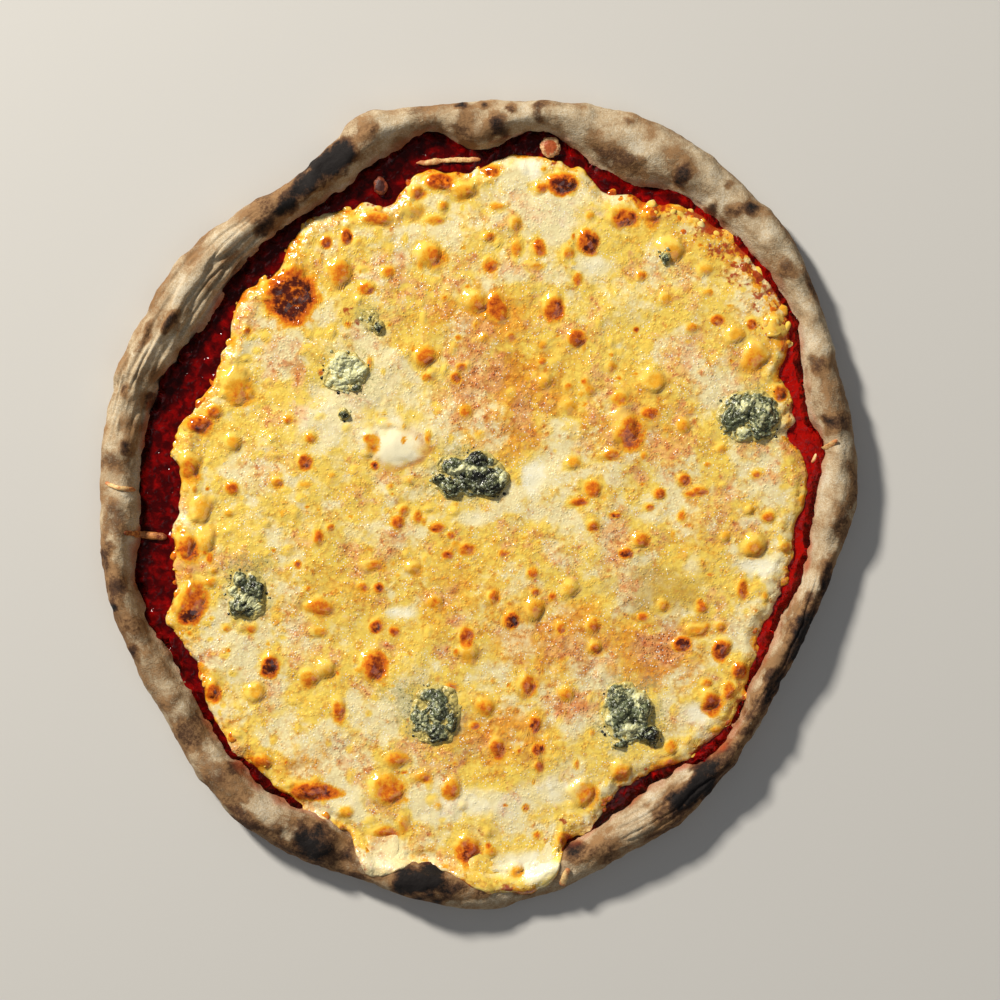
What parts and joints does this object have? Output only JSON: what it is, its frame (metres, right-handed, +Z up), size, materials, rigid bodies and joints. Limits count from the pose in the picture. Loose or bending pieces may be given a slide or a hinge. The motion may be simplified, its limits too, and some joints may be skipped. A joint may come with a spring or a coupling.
{
  "type": "four cheese pizza",
  "caption": "Whole round pizza: puffed scorched rim on a thin base, a ring of tomato sauce, a blistered blanket of melted cheese and lumps of blue cheese.",
  "frame": {"origin": "centre of the bounding box at the underside, where the pizza rests", "axes": "+Z up out of the topping, +Y towards the far edge as seen in the picture, +X to its right"},
  "size_m": [0.3038, 0.3252, 0.0178],
  "materials": {
    "dough": "floury baked crust with scorch marks",
    "sauce": "wet tomato sauce",
    "melted_cheese": "oily melted cheese with browned blisters",
    "blue_cheese": "crumbly blue-green cheese",
    "baked_shred": "dried cheese shreds and crumbs"
  },
  "bodies": {
    "root": {"crust": "dough", "tomato_sauce": "sauce", "cheese_blanket": "melted_cheese", "blue_cheese_1": "blue_cheese", "blue_cheese_2": "blue_cheese", "blue_cheese_3": "blue_cheese", "blue_cheese_4": "blue_cheese", "blue_cheese_5": "blue_cheese", "blue_cheese_6": "blue_cheese", "blue_cheese_7": "blue_cheese", "blue_cheese_8": "blue_cheese", "blue_cheese_9": "blue_cheese", "cheese_shred_top": "baked_shred", "cheese_shred_right": "baked_shred", "cheese_shred_bottom": "baked_shred", "cheese_strand_left": "baked_shred", "cheese_drip_left": "baked_shred", "cheese_crumb_top": "baked_shred", "baked_crumb_top_left": "baked_shred"}
  },
  "joints": []
}
